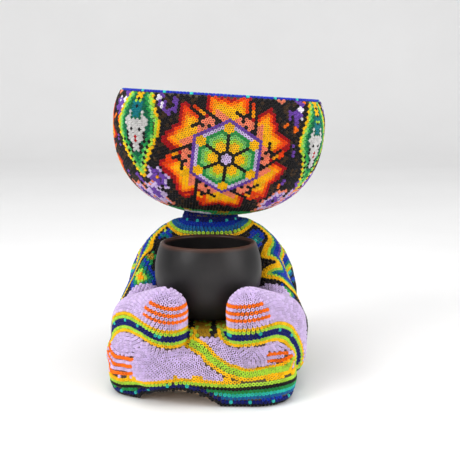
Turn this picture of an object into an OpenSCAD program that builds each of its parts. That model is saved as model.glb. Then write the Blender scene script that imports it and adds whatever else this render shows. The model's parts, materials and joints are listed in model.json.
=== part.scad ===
// Beaded bowl-headed figure: a seated, cross-legged body covered in seed beads set in wax,
// with a half-gourd bowl for a head and a loose clay cup held between its hands.
// Millimetres, +Z up, front is -Y. The origin is on the floor under the middle of the neck.

/* [Beads and wax] */
// Height of one bead above the wax
bead_h = 1.6; // [1.2:0.1:2]
// Thickness of the wax layer
wax_t = 1.0; // [0.8:0.1:1.4]

/* [Bowl] */
// Height of the middle of the bowl's rim
rim_z = 176; // [174:1:184]
// Widest radius of the bowl over its beads
bowl_r = 68.5; // [66:0.5:70]
// Depth of the bowl from rim to underside
bowl_depth = 78; // [76:0.5:79]
// Depth below the rim where the bowl is widest
bowl_waist = 18; // [14:1:22]
// Thickness of the gourd wall
gourd_t = 3.0; // [2.5:0.5:4]
// How far the bowl leans to the figure's side, in degrees
bowl_lean = 3.4; // [0:0.2:4]
// Sideways shift of the bowl on the neck
bowl_shift = 2.5; // [0:0.5:3]
// Turn of the front medallion around the bowl, in degrees
bowl_turn = 4; // [0:1:10]
// Angle that one medallion panel takes around the bowl
medallion_angle = 76; // [70:1:84]

/* [Body] */
// Half width of the torso at the elbows' height
torso_w = 57; // [54:1:58]
// Radius of the neck over its beads
neck_r = 16.7; // [15:0.1:18]
// Distance from the middle to each hand
hand_x = 24; // [23.5:0.5:25]
// Radius of each hand over its beads
hand_r = 13.8; // [13:0.1:14.2]
// Height of the arch under the crossed legs
arch_h = 9.5; // [7:0.5:11]
// Height of the striped hem above the floor
hem_h = 17; // [15:1:19]

/* [Cup] */
// Widest radius of the cup
cup_r = 32; // [30:0.5:32.5]
// Radius of the cup's mouth over its lip
lip_r = 28.2; // [26:0.1:29]
// Height of the cup
cup_h = 44.8; // [42:0.1:46]
// Thickness of the cup's wall
cup_wall = 3.0; // [2.5:0.1:3.6]
// Distance of the cup in front of the neck
cup_y = -56; // [-58:0.5:-55]

/* [Hidden] */

skin = bead_h + wax_t;
floor_gap = 0.8;
rim_t = bead_h + 0.2;
cup_z = 43.5;
cup_foot_r = 17;
cup_wide_z = cup_z + 0.61 * cup_h;
cup_lift = 112;
cup_tilt = 42;
cup_gap = 0.5;
foot_depth = bowl_depth - 5;
panel_turn = bowl_turn - 90;
eye_angle = 120 - medallion_angle;
neck_top = rim_z - bowl_depth;

// ---------- Bowl ----------

// Radius of the bowl at depth d below its rim, grown outwards by g.
function bowl_radius(d, g) =
    d < bowl_waist
    ? (bowl_r + g) * sqrt(1 - pow((bowl_waist - d) / 48, 2))
    : (bowl_r + g) * pow(1 - pow((d - bowl_waist) / bowl_floor(g), 2.4), 1 / 2.4);

function bowl_floor(g) = bowl_depth + g - bowl_waist;

// Points down one surface of the bowl, from its rim to its underside.
function bowl_line(g, n = 24) = [
    for (i = [0:n])
        let (d = (bowl_waist + bowl_floor(g)) * sin(90 * i / n))
        [i == n ? 0 : bowl_radius(d, g), -d]
];

// The point of a line at depth d.
function at_depth(line, d) =
    let (
        i = max([for (k = [0:len(line) - 2]) if (-line[k][1] <= d) k]),
        t = (d + line[i][1]) / (line[i][1] - line[i + 1][1])
    )
    line[i] + t * (line[i + 1] - line[i]);

// The stretch of a line between two depths.
function between(line, d0, d1) = concat(
    [at_depth(line, d0)],
    [for (p = line) if (-p[1] > d0 + 0.01 && -p[1] < d1 - 0.01) p],
    [at_depth(line, d1)]
);

function backwards(v) = [for (i = [len(v) - 1:-1:0]) v[i]];

// The wall between two surfaces of the bowl, from rim depth d0 down to the axis.
module bowl_wall(d0, g_out, g_in) {
    out_pts = between(bowl_line(g_out), d0, bowl_waist + bowl_floor(g_out));
    in_pts = between(bowl_line(g_in), d0, bowl_waist + bowl_floor(g_in));
    rotate_extrude($fn = 128)
    polygon(concat(out_pts, backwards(in_pts)));
}

// Puts a bowl piece, modelled with its rim's middle at the origin, in its place on the neck.
module on_neck() {
    translate([bowl_shift, 0, neck_top])
    rotate([0, bowl_lean, 0])
    translate([0, 0, bowl_depth])
    children();
}

// One panel of the bead field, a turned slice of the bowl's bead layer.
module bowl_panel(middle, width) {
    out_pts = between(bowl_line(0), rim_t, foot_depth);
    in_pts = between(bowl_line(-bead_h), rim_t, foot_depth);
    on_neck()
    rotate([0, 0, middle - width / 2])
    rotate_extrude(angle = width, $fn = 128)
    polygon(concat(out_pts, backwards(in_pts)));
}

module gourd_bowl() {
    color("#b98a52")
    difference() {
        on_neck() bowl_wall(rim_t + wax_t, -skin, -skin - gourd_t);
        translate([0, 0, neck_top - 20])
        cylinder(h = 25, r = 4.1, $fn = 48);
    }
}

module bowl_wax_outside() {
    color("#8a5a2e")
    difference() {
        on_neck() bowl_wall(rim_t + wax_t, -bead_h, -skin);
        translate([0, 0, neck_top - 20])
        cylinder(h = 25, r = neck_r + 0.3, $fn = 96);
    }
}

// The inside wax, with the ring of wax that covers the gourd's cut edge.
module bowl_wax_inside() {
    out_pts = between(bowl_line(-bead_h), rim_t, rim_t + wax_t);
    in_pts = between(bowl_line(-skin - gourd_t - wax_t), rim_t, rim_t + wax_t);
    color("#8a5a2e")
    on_neck() {
        bowl_wall(rim_t + wax_t, -skin - gourd_t, -skin - gourd_t - wax_t);
        rotate_extrude($fn = 128)
        polygon(concat(out_pts, backwards(in_pts)));
    }
}

module bowl_rim_beads() {
    inner = bowl_radius(0, -2 * skin - gourd_t);
    color("#1f3fc4")
    on_neck()
    rotate_extrude($fn = 128)
    translate([inner, -rim_t])
    square([bowl_radius(0, 0) - inner, rim_t]);
}

module bowl_inside_beads() {
    color("#202a6e")
    on_neck()
    bowl_wall(rim_t, -skin - gourd_t - wax_t, -2 * skin - gourd_t);
}

module bowl_foot_ring() {
    out_pts = between(bowl_line(0), foot_depth, bowl_depth);
    in_pts = between(bowl_line(-bead_h), foot_depth, bowl_depth - bead_h);
    color("#1f7a44")
    difference() {
        on_neck()
        rotate_extrude($fn = 128)
        polygon(concat(out_pts, backwards(in_pts)));
        translate([0, 0, neck_top - 20])
        cylinder(h = 25, r = neck_r + 0.3, $fn = 96);
    }
}

module bowl_medallion_front() {
    color("#f07818") bowl_panel(panel_turn, medallion_angle);
}

module bowl_medallion_right() {
    color("#e86a14") bowl_panel(panel_turn + 120, medallion_angle);
}

module bowl_medallion_left() {
    color("#e86a14") bowl_panel(panel_turn - 120, medallion_angle);
}

module bowl_eye_panel_right() {
    color("#2a9a5a") bowl_panel(panel_turn + 60, eye_angle);
}

module bowl_eye_panel_left() {
    color("#2a9a5a") bowl_panel(panel_turn - 60, eye_angle);
}

module bowl_eye_panel_back() {
    color("#2a9a5a") bowl_panel(panel_turn + 180, eye_angle);
}

// ---------- Body form ----------

// The balls that shape an arm and the knee under it. Each is [x, y, z, radius].
elbow = [46, -30, 30, 17];
forearm = [42.5, -64, 43, 15];
hand = [hand_x, -93, 55, hand_r];
shoulder = [34, 2, 71, 11];
armpit = [39, -46, 47, 13];
knee_side = [42.5, -60, 22, 17];
knee_front = [25, -86, 31, 14];

// Torso sections: [height, half width, front y, back y].
torso_rings = [
    [-1, torso_w - 10, -20, 30],
    [4, torso_w - 6, -22, 35],
    [16, torso_w - 2, -23, 39],
    [32, torso_w + 0.5, -23, 40],
    [46, torso_w + 0.5, -23, 39],
    [60, torso_w - 2.5, -23, 37],
    [71, torso_w - 7.5, -23, 34],
    [80, torso_w - 14.5, -22.5, 30],
    [87, torso_w - 22, -21.5, 25],
    [92, torso_w - 31, -19.5, 20]
];

// A ball of the body, grown by g.
module ball(b, g) {
    translate([b[0], b[1], b[2]])
    sphere(r = b[3] + g, $fn = 18);
}

// The round skin stretched over a list of balls.
module stretched(balls, g) {
    hull()
    for (b = balls)
        ball(b, g);
}

module torso_form(g) {
    hull()
    for (s = torso_rings)
        translate([1, (s[2] + s[3]) / 2, s[0]])
        scale([s[1] + g, (s[3] - s[2]) / 2 + g, 1])
        cylinder(h = 0.01, r = 1, $fn = 32);
}

module neck_form(g) {
    hull() {
        translate([0, 0, 86]) cylinder(h = 0.01, r = neck_r + 11 + g, $fn = 32);
        translate([0, 0, 92.5]) cylinder(h = 0.01, r = neck_r + 3.2 + g, $fn = 32);
    }
    hull() {
        translate([0, 0, 92.5]) cylinder(h = 0.01, r = neck_r + 3.2 + g, $fn = 32);
        translate([0, 0, 95.5]) cylinder(h = 5, r = neck_r + g, $fn = 32);
    }
}

module arm_form(g) {
    stretched([shoulder, elbow, armpit], g);
    forearm_form(g);
}

// The forearm with the knee that it lies on.
module forearm_form(g) {
    stretched([elbow, forearm, knee_side], g);
    stretched([forearm, hand, knee_side, knee_front], g);
}

module legs_form(g) {
    stretched([[-44.5, -60, 21, 17.5], [-26, -84, 20.5, 17.5]], g);
    stretched([[-26, -84, 20.5, 17.5], [4, -88.5, 18, 15.5]], g);
    stretched([[4, -88.5, 18, 15.5], [34, -84, 12, 12]], g);
    stretched([[37, -74, 24, 15.5], [13, -86, 25, 14.5]], g);
    stretched([[13, -86, 25, 14.5], [-10, -82, 26, 13]], g);
}

// One round of the base slab: [x, y, radius].
module base_round(x, y, r, g) {
    translate([x, y, -1]) cylinder(h = 0.01, r = r - 6 + g, $fn = 32);
    translate([x, y, 4]) cylinder(h = 0.01, r = r - 1.5 + g, $fn = 32);
    translate([x, y, 11]) cylinder(h = 4, r = r + g, $fn = 32);
    translate([x, y, 20]) cylinder(h = 0.01, r = r - 5 + g, $fn = 32);
}

module base_form(g) {
    hull() {
        base_round(-39, -65, 21, g);
        base_round(-14, -79, 22, g);
        base_round(27, -77, 25.5, g);
        base_round(33, -20, 20, g);
        base_round(-33, -20, 20, g);
    }
}

module lap_form(g) {
    hull() {
        translate([0, -52, 6]) cylinder(h = 36.6 + g, r = 38 + g, $fn = 32);
        translate([0, -81, 6]) cylinder(h = 32 + g, r = 17 + g, $fn = 32);
    }
}

// The whole outside of the body over its beads, grown by g.
module body_form(g) {
    torso_form(g);
    neck_form(g);
    arm_form(g);
    mirror([1, 0, 0]) arm_form(g);
    legs_form(g);
    base_form(g);
    lap_form(g);
}

// Radius of the outside of the cup at height z above its foot.
function cup_radius(z) =
    let (w = cup_wide_z - cup_z)
    z < w
    ? cup_r * sqrt(1 - (1 - pow(cup_foot_r / cup_r, 2)) * pow((w - z) / w, 2))
    : cup_r - (cup_r - lip_r) * pow((z - w) / (cup_h - w), 2);

function cup_line(n, grow) = [
    for (i = [0:n]) let (z = cup_h * i / n) [cup_radius(z) + grow, z]
];

// The space that the cup needs, from its seat to the end of its way out.
module cup_way() {
    hull()
    for (k = [0, 1])
        translate([0, cup_y - k * cup_lift * cos(cup_tilt), cup_z + k * cup_lift * sin(cup_tilt)])
        translate([0, 0, -cup_gap])
        rotate_extrude($fn = 48)
        polygon(concat([[0, 0]], cup_line(8, cup_gap), [[0, cup_h]]));
}

module arch_cut(grow) {
    r = 35 + grow;
    translate([-17, -50, arch_h - 35])
    rotate([90, 0, 0])
    cylinder(h = 80, r = r, $fn = 72);
}

module above(z) {
    translate([-200, -200, z]) cube([400, 400, 400]);
}

// Everything over the sloping line where the bowl's underside begins.
module bowl_side(gap) {
    on_neck()
    translate([-60, -60, -bowl_depth - gap])
    cube([120, 120, 60]);
}

// A layer of the body between two growths of its form, clear of floor, arch and cup.
module body_layer(g_out, g_in) {
    difference() {
        intersection() {
            body_form(g_out);
            above(floor_gap);
        }
        body_form(g_in);
        arch_cut(0.8);
        cup_way();
        bowl_side(0);
    }
}

module bead_layer() {
    body_layer(0, -bead_h);
}

module body_core() {
    color("#b5754f")
    difference() {
        intersection() {
            body_form(-skin);
            above(0);
        }
        arch_cut(0);
        cup_way();
        bowl_side(-skin);
        translate([0, 0, 70]) cylinder(h = 60, r = 4.15, $fn = 48);
    }
}

module body_wax() {
    color("#8a5a2e") body_layer(-bead_h, -skin);
}

module neck_dowel() {
    color("#c9a26a")
    translate([0, 0, 70.2])
    cylinder(h = neck_top + 3.6 - 70.2, r = 4, $fn = 48);
}

// ---------- Bead regions of the body ----------

module hem_region() {
    translate([-100, -130, -5]) cube([200, 200, hem_h + 5]);
}

module collar_region() {
    translate([0, 0, 89.5]) cylinder(h = 20, r = 25, $fn = 96);
}

// One arm's region: side is -1 for the left hand in front view, 1 for the right.
module arm_region(side) {
    mirror([side < 0 ? 1 : 0, 0, 0])
    forearm_form(0.7);
}

// The striped band round each wrist.
module cuff_zone() {
    translate([-100, -130, 36]) cube([200, 66, 10.5]);
}

// Everything under the bands: both feet and the crossed shins.
module leg_zone() {
    translate([-100, -130, -5]) cube([200, 80, 41]);
    translate([-10.4, -130, -5]) cube([20.8, 60, 50]);
}

module lap_region() {
    translate([-28, -92, 30]) cube([56, 68.9, 13.2]);
}

// A slanted strip across the crossed shins.
module shin_zone() {
    translate([8.2, -130, 28])
    rotate([0, 27.5, 0])
    translate([-24, 0, -3.2])
    cube([60, 68, 6.4]);
}

module half_space(side) {
    translate([side < 0 ? -200 : 0, -200, -50]) cube([200, 400, 400]);
}

// Both sleeves' region is outside this chest slab and in front of the back.
module chest_region() {
    translate([-31.5, -50, -5]) cube([63, 56, 200]);
}

module back_region() {
    translate([-100, 6, -5]) cube([200, 100, 200]);
}

module hand_beads(side) {
    difference() {
        intersection() {
            bead_layer();
            arm_region(side);
            half_space(side);
        }
        leg_zone();
        hem_region();
        lap_region();
        cuff_zone();
    }
}

module cuff_beads(side) {
    difference() {
        intersection() {
            bead_layer();
            arm_region(side);
            cuff_zone();
            half_space(side);
        }
        lap_region();
    }
}

module sleeve_beads(side) {
    difference() {
        intersection() {
            bead_layer();
            half_space(side);
        }
        hem_region();
        lap_region();
        arm_region(side);
        chest_region();
        back_region();
        leg_zone();
        cuff_zone();
    }
}

module collar_beads() {
    color("#2038b8")
    intersection() {
        bead_layer();
        collar_region();
    }
}

module chest_beads() {
    color("#1a1a1e")
    difference() {
        intersection() {
            bead_layer();
            chest_region();
        }
        hem_region();
        collar_region();
        lap_region();
        leg_zone();
        arm_region(-1);
        arm_region(1);
    }
}

module back_beads() {
    color("#20242e")
    difference() {
        intersection() {
            bead_layer();
            back_region();
        }
        hem_region();
        collar_region();
    }
}

module sleeve_left_beads() {
    color("#2a62c8") sleeve_beads(-1);
}

module sleeve_right_beads() {
    color("#2a62c8") sleeve_beads(1);
}

module hand_left_beads() {
    color("#d9c8ee") hand_beads(-1);
}

module hand_right_beads() {
    color("#d9c8ee") hand_beads(1);
}

module cuff_left_beads() {
    color("#f2c200") cuff_beads(-1);
}

module cuff_right_beads() {
    color("#f2c200") cuff_beads(1);
}

module foot_beads(side) {
    difference() {
        intersection() {
            bead_layer();
            leg_zone();
        }
        hem_region();
        lap_region();
        shin_zone();
        if (side < 0)
            shin_far_side();
        else
            shin_near_side();
    }
}

// The space over and to the right of the shin band.
module shin_far_side() {
    translate([8.2, -130, 28])
    rotate([0, 27.5, 0])
    translate([-200, 0, 0])
    cube([400, 90, 200]);
}

// The space under and to the left of the shin band.
module shin_near_side() {
    translate([8.2, -130, 28])
    rotate([0, 27.5, 0])
    translate([-200, 0, -200])
    cube([400, 90, 200]);
}

module foot_left_beads() {
    color("#d3c0ea") foot_beads(-1);
}

module foot_right_beads() {
    color("#cdb8e6") foot_beads(1);
}

module shin_band_beads() {
    color("#b8dc3c")
    difference() {
        intersection() {
            bead_layer();
            leg_zone();
            shin_zone();
        }
        hem_region();
        lap_region();
    }
}

module hem_beads() {
    color("#1c8f5c")
    intersection() {
        bead_layer();
        hem_region();
    }
}

module lap_beads() {
    color("#a88412")
    intersection() {
        bead_layer();
        lap_region();
    }
}

// ---------- Cup ----------

module clay_cup() {
    n = 20;
    out_pts = cup_line(n, 0);
    in_pts = [for (i = [n:-1:2]) [cup_radius(cup_h * i / n) - cup_wall, cup_h * i / n]];
    lip = [
        for (a = [0:30:180])
            [lip_r - cup_wall / 2 + cos(a) * cup_wall / 2, cup_h - cup_wall / 2 + sin(a) * cup_wall / 2]
    ];
    color("#2a2a2c")
    translate([0, cup_y, cup_z])
    rotate_extrude($fn = 96)
    polygon(concat(
        [[0, 0]],
        [for (p = out_pts) if (p[1] < cup_h - cup_wall / 2 - 0.1) p],
        lip,
        [for (p = in_pts) if (p[1] < cup_h - cup_wall / 2 - 0.1) p],
        [[0, cup_h * 2 / n - 0.2]]
    ));
}

clay_cup();
body_core();
neck_dowel();
gourd_bowl();
bowl_wax_outside();
bowl_wax_inside();
body_wax();
bowl_rim_beads();
bowl_medallion_front();
bowl_medallion_left();
bowl_medallion_right();
bowl_eye_panel_left();
bowl_eye_panel_right();
bowl_eye_panel_back();
bowl_foot_ring();
bowl_inside_beads();
collar_beads();
chest_beads();
back_beads();
sleeve_left_beads();
sleeve_right_beads();
hand_left_beads();
hand_right_beads();
cuff_left_beads();
cuff_right_beads();
foot_left_beads();
foot_right_beads();
shin_band_beads();
hem_beads();
lap_beads();
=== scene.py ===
import heapq
import json
import math

import bpy
import numpy as np
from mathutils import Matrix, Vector
from mathutils.kdtree import KDTree


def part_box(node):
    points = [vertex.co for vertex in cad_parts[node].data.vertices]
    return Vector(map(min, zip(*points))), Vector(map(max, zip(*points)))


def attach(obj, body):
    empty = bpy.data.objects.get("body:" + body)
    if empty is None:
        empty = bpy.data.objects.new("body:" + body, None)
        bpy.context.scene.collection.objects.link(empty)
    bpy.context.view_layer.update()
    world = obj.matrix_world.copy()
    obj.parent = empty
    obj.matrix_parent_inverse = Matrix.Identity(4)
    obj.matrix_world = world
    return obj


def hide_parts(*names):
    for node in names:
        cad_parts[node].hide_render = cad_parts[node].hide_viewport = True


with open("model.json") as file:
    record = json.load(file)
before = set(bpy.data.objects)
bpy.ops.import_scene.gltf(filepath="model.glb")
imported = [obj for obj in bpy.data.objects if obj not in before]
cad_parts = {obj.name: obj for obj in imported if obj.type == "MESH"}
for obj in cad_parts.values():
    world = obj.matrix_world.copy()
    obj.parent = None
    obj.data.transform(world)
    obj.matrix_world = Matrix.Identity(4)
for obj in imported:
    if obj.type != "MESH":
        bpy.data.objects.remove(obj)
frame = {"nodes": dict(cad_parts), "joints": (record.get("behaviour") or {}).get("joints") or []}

# Lengths are in millimetres unless a comment says otherwise. Beads are PITCH apart in a row, and the
# body's rows are ROW apart.
MM = 0.001
PITCH = 2.2
ROW = 1.9
RNG = np.random.default_rng(11)
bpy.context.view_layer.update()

# ---------- Bead colours ----------

COLOURS = {
    "yellow": (0.90, 0.50, 0.004),
    "lime": (0.40, 0.66, 0.05),
    "pale_green": (0.20, 0.56, 0.16),
    "green": (0.02, 0.30, 0.07),
    "emerald": (0.004, 0.13, 0.06),
    "teal": (0.003, 0.17, 0.20),
    "turquoise": (0.03, 0.52, 0.44),
    "steel": (0.012, 0.12, 0.33),
    "blue": (0.008, 0.04, 0.42),
    "navy": (0.006, 0.010, 0.14),
    "royal": (0.010, 0.025, 0.42),
    "purple": (0.16, 0.06, 0.38),
    "lilac": (0.60, 0.47, 0.72),
    "white": (0.78, 0.74, 0.80),
    "grey": (0.56, 0.55, 0.54),
    "salmon": (0.86, 0.24, 0.13),
    "orange": (0.93, 0.17, 0.003),
    "amber": (0.96, 0.37, 0.003),
    "red_orange": (0.80, 0.060, 0.004),
    "red": (0.40, 0.005, 0.010),
    "gold": (0.42, 0.24, 0.012),
    "brown": (0.055, 0.030, 0.014),
    "black": (0.010, 0.009, 0.010),
}
NAMES = list(COLOURS)
INDEX = {n: i for i, n in enumerate(NAMES)}
SHADES = (0.88, 1.0, 1.10)


def start_material(name):
    """A new material, its node tree and its main shader."""
    m = bpy.data.materials.new(name)
    m.use_nodes = True
    return m, m.node_tree, m.node_tree.nodes["Principled BSDF"]


def add(nt, kind, **values):
    """A new shader node with these inputs set."""
    n = nt.nodes.new("ShaderNode" + kind)
    for name, value in values.items():
        n.inputs[name.replace("_", " ")].default_value = value
    return n


def join(nt, *pairs):
    """Links each pair of an output and an input."""
    for a, b in pairs:
        nt.links.new(a, b)


def bead_material(colour, shade):
    """Opaque glass in one of three shades of a colour, with a faintly uneven gloss."""
    name = f"bead_{colour}_{shade}"
    found = bpy.data.materials.get(name)
    if found:
        return found
    m, nt, p = start_material(name)
    rgb = [min(1.0, c * SHADES[shade]) for c in COLOURS[colour]]
    p.inputs["Base Color"].default_value = (*rgb, 1)
    p.inputs["Roughness"].default_value = 0.34 + 0.05 * shade
    p.inputs["Specular IOR Level"].default_value = 0.12
    p.inputs["Coat Weight"].default_value = 0.16
    p.inputs["Coat Roughness"].default_value = 0.10
    tex = add(nt, "TexCoord")
    noise = add(nt, "TexNoise", Scale=900)
    bump = add(nt, "Bump", Strength=0.25, Distance=0.0002)
    join(
        nt, (tex.outputs["Object"], noise.inputs["Vector"]),
        (noise.outputs["Fac"], bump.inputs["Height"]), (bump.outputs["Normal"], p.inputs["Coat Normal"]),
    )
    return m


def noise_material(name, low, high, scale, rough, bump_mm, detail=6.0):
    """A mottled, slightly uneven material between two colours."""
    m, nt, p = start_material(name)
    tex = add(nt, "TexCoord")
    noise = add(nt, "TexNoise", Scale=scale, Detail=detail)
    ramp = add(nt, "ValToRGB")
    for stop, place, colour in zip(ramp.color_ramp.elements, (0.35, 0.68), (low, high)):
        stop.position = place
        stop.color = (*colour, 1)
    fine = add(nt, "TexNoise", Scale=scale * 6)
    bump = add(nt, "Bump", Strength=0.6, Distance=bump_mm * MM)
    join(
        nt, (tex.outputs["Object"], noise.inputs["Vector"]), (tex.outputs["Object"], fine.inputs["Vector"]),
        (noise.outputs["Fac"], ramp.inputs["Fac"]), (ramp.outputs["Color"], p.inputs["Base Color"]),
        (fine.outputs["Fac"], bump.inputs["Height"]), (bump.outputs["Normal"], p.inputs["Normal"]),
    )
    p.inputs["Roughness"].default_value = rough
    return m


# ---------- One bead, and pieces made of many ----------

# A bead's section as [radius, height], from the edge of its hole to its foot.
RING_SIDES = 10
RING_LINE = ((0.44, 0.15), (0.47, 0.95), (0.76, 1.36), (1.03, 1.0), (1.09, 0.0))


def lathe(line, sides):
    """Corner points and quads of a line of [radius, height] turned about the z axis."""
    a = np.arange(sides) * 2 * math.pi / sides
    co = np.array([(r * math.cos(t), r * math.sin(t), z) for r, z in line for t in a])
    quads = []
    for lo in range(0, (len(line) - 1) * sides, sides):
        for i in range(sides):
            j = (i + 1) % sides
            quads.append((lo + j, lo + i, lo + sides + i, lo + sides + j))
    return co, np.array(quads)


def unit(v):
    """Vectors at length 1."""
    return v / np.maximum(np.linalg.norm(v, axis=-1, keepdims=True), 1e-9)


def side_axes(n):
    """Two axes square to each normal, turned by a random angle."""
    ref = np.where(np.abs(n[:, 2:3]) < 0.9, [[0.0, 0.0, 1.0]], [[1.0, 0.0, 0.0]])
    a = unit(np.cross(ref, n))
    b = np.cross(n, a)
    t = RNG.uniform(0, 2 * math.pi, (len(n), 1))
    return a * np.cos(t) + b * np.sin(t), b * np.cos(t) - a * np.sin(t)


def mesh_from(name, co, faces):
    """A smooth mesh from vertices in metres and faces that all have the same number of corners."""
    me = bpy.data.meshes.new(name)
    n, sides = faces.shape
    me.vertices.add(len(co))
    me.vertices.foreach_set("co", co.astype(np.float32).ravel())
    me.loops.add(n * sides)
    me.loops.foreach_set("vertex_index", faces.astype(np.int32).ravel())
    me.polygons.add(n)
    me.polygons.foreach_set("loop_start", np.arange(0, n * sides, sides, dtype=np.int32))
    me.polygons.foreach_set("use_smooth", np.ones(n, bool))
    me.update(calc_edges=True)
    return me


def put(name, data):
    """A new object with this data, in the scene."""
    ob = bpy.data.objects.new(name, data)
    bpy.context.scene.collection.objects.link(ob)
    return ob


def show(name, me, body, node, slot):
    """Puts a mesh in the scene as a piece that rides on a body and stands for a node."""
    ob = put(name, me)
    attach(ob, body)
    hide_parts(node)


def bead_piece(node, slot, pos, nrm, col, name=None):
    """One mesh of all these beads. pos is where each stands, and col is its colour number."""
    name = name or node
    shape, quads = lathe(RING_LINE, RING_SIDES)
    count = len(pos)
    tilt = unit(nrm + RNG.normal(0, 0.045, nrm.shape))
    ax, ay = side_axes(tilt)
    size = 1 + RNG.normal(0, 0.018, (count, 1, 1)).clip(-0.04, 0.04)
    tall = RNG.uniform(0.93, 1.03, (count, 1))
    co = pos[:, None] + size * (
        shape[None, :, 0:1] * ax[:, None] + shape[None, :, 1:2] * ay[:, None]
    ) + (shape[None, :, 2] * tall)[..., None] * tilt[:, None]
    faces = (quads[None] + (np.arange(count) * len(shape))[:, None, None]).reshape(-1, 4)
    me = mesh_from(name, co.reshape(-1, 3) * MM, faces)
    key = col * 3 + RNG.integers(0, 3, count)
    used, which = np.unique(key, return_inverse=True)
    for k in used:
        me.materials.append(bead_material(NAMES[k // 3], int(k % 3)))
    me.polygons.foreach_set("material_index", np.repeat(which, len(quads)).astype(np.int32))
    show(name, me, "figure", node, slot)


# ---------- The bowl's form ----------

# The dowel stands 3.6 mm into the gourd. The bowl is widest at the depth WAIST; RIM_CURVE and
# LOW_POWER set its profile above and below that. BEAD and WALL_IN are how far inside this form the
# outer and the inner beads stand.
NECK_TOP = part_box("neck_dowel")[1].z / MM - 3.6
DEPTH = 78.0
WAIST = 18.0
WIDE = 68.5
RIM_CURVE = 48
LOW_POWER = 2.4
LEAN = math.radians(3.4)
SHIFT = 2.5
TURN = math.radians(4 - 90)
BEAD = 1.6
RIM_T = 1.8
WALL_IN = 6.6
STEP = PITCH + 0.05
MEDALLION_DEPTH = 37.5
PATTERN_LOW = DEPTH - 4


def bowl_f(p, g):
    """How far a point, in the bowl's own frame with its rim's middle at the origin, is outside its form."""
    rho = np.hypot(p[:, 0], p[:, 1])
    d = -p[:, 2]
    a, b = WIDE + g, DEPTH + g - WAIST
    low = np.maximum(d - WAIST, 0) / b
    high = np.minimum(d - WAIST, 0) / RIM_CURVE
    w, under = LOW_POWER, d > WAIST
    f = np.where(under, (rho / a) ** w + low ** w, (rho / a) ** 2 + high ** 2) - 1
    k = np.where(under, w * (rho / a) ** (w - 1), 2 * rho / a) / a
    gz = np.where(under, w * low ** (w - 1) / b, 2 * high / RIM_CURVE)
    rho = np.maximum(rho, 1e-6)
    grad = np.stack([k * p[:, 0] / rho, k * p[:, 1] / rho, -gz], 1)
    return f, grad


def onto_bowl(p, g):
    """Points moved onto the form grown by g, with the normals there."""
    for _ in range(3):
        f, grad = bowl_f(p, g)
        p = p - grad * (f / np.maximum((grad ** 2).sum(1), 1e-9))[:, None]
    return p, unit(bowl_f(p, g)[1])


def bowl_radius(d, g):
    """The form's radius at one depth."""
    a, b = WIDE + g, DEPTH + g - WAIST
    if d < WAIST:
        return a * math.sqrt(max(0.0, 1 - ((WAIST - d) / RIM_CURVE) ** 2))
    return a * max(0.0, 1 - ((d - WAIST) / b) ** LOW_POWER) ** (1 / LOW_POWER)


def bowl_radii(depths, g=-BEAD):
    """The form's radius at each depth; g is the beads' foot unless given."""
    return np.array([bowl_radius(d, g) for d in depths])


def turn_of(p):
    """Degrees round the bowl from its front."""
    return np.degrees(np.arctan2(p[:, 1], p[:, 0])) + 90


def in_place(p, turn_only=False):
    """From the bowl's own frame to the row frame, in millimetres."""
    c, s = math.cos(LEAN), math.sin(LEAN)
    rot = np.array([[c, 0, s], [0, 1, 0], [-s, 0, c]])
    if turn_only:
        return p @ rot.T
    return (p + [0, 0, DEPTH]) @ rot.T + [SHIFT, 0, NECK_TOP]


def bowl_piece(node, slot, p, n, col, name=None):
    """Beads given in the bowl's own frame."""
    bead_piece(node, slot, in_place(p), in_place(n, True), col, name)


def polar(r, t, z):
    """Points from radii, angles and heights."""
    return np.stack(np.broadcast_arrays(r * np.cos(t), r * np.sin(t), z), 1)


def walk(azimuth, depth, angles, lengths, g):
    """Ends of paths over the bowl: they leave one point at these angles and run these lengths."""
    r = bowl_radius(depth, g)
    start = np.array([[r * math.cos(azimuth), r * math.sin(azimuth), -depth]])
    start, n = onto_bowl(start, g)
    right = unit(np.cross([[0, 0, 1]], n))
    up = np.cross(n, right)
    t = np.cos(angles)[:, None] * right + np.sin(angles)[:, None] * up
    p = np.repeat(start, len(angles), 0)
    steps = 40
    for _ in range(steps):
        q, n = onto_bowl(p + t * (lengths / steps)[:, None], g)
        t = unit(t - (t * n).sum(1)[:, None] * n)
        p = q
    return p, n


def lattice(reach):
    """Six-sided lattice: cube coordinates of every point up to reach steps from the middle."""
    return np.array([
        (q, r, -q - r)
        for q in range(-reach, reach + 1)
        for r in range(-reach, reach + 1)
        if abs(q + r) <= reach
    ])


def lattice_plane(cube, axis):
    """Lattice points in millimetres, with one lattice direction at this angle."""
    x = cube[:, 0] + cube[:, 1] / 2
    y = cube[:, 1] * math.sqrt(3) / 2
    c, s = math.cos(axis), math.sin(axis)
    return np.stack([x * c - y * s, x * s + y * c], 1) * STEP


# ---------- Bowl patterns ----------

def polygon_depth(p, corners):
    """Signed distance of points into a closed polygon, positive inside."""
    a = np.array(corners, float)
    b = np.roll(a, -1, 0)
    best = np.full(len(p), 1e9)
    inside = np.zeros(len(p), bool)
    for s, e in zip(a, b):
        d = e - s
        t = (((p - s) @ d) / (d @ d)).clip(0, 1)
        best = np.minimum(best, np.hypot(*(p - s - t[:, None] * d).T))
        cross = (s[1] > p[:, 1]) != (e[1] > p[:, 1])
        with np.errstate(divide="ignore", invalid="ignore"):
            at = s[0] + (p[:, 1] - s[1]) / (e[1] - s[1]) * d[0]
        inside ^= cross & (p[:, 0] < at)
    return np.where(inside, best, -best)


def line_distance(p, a, b):
    """Distance of points from the stretch between a and b."""
    a, b = np.array(a, float), np.array(b, float)
    d = b - a
    t = (((p - a) @ d) / (d @ d)).clip(0, 1)
    return np.linalg.norm(p - a - t[:, None] * d, axis=1)


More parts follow.
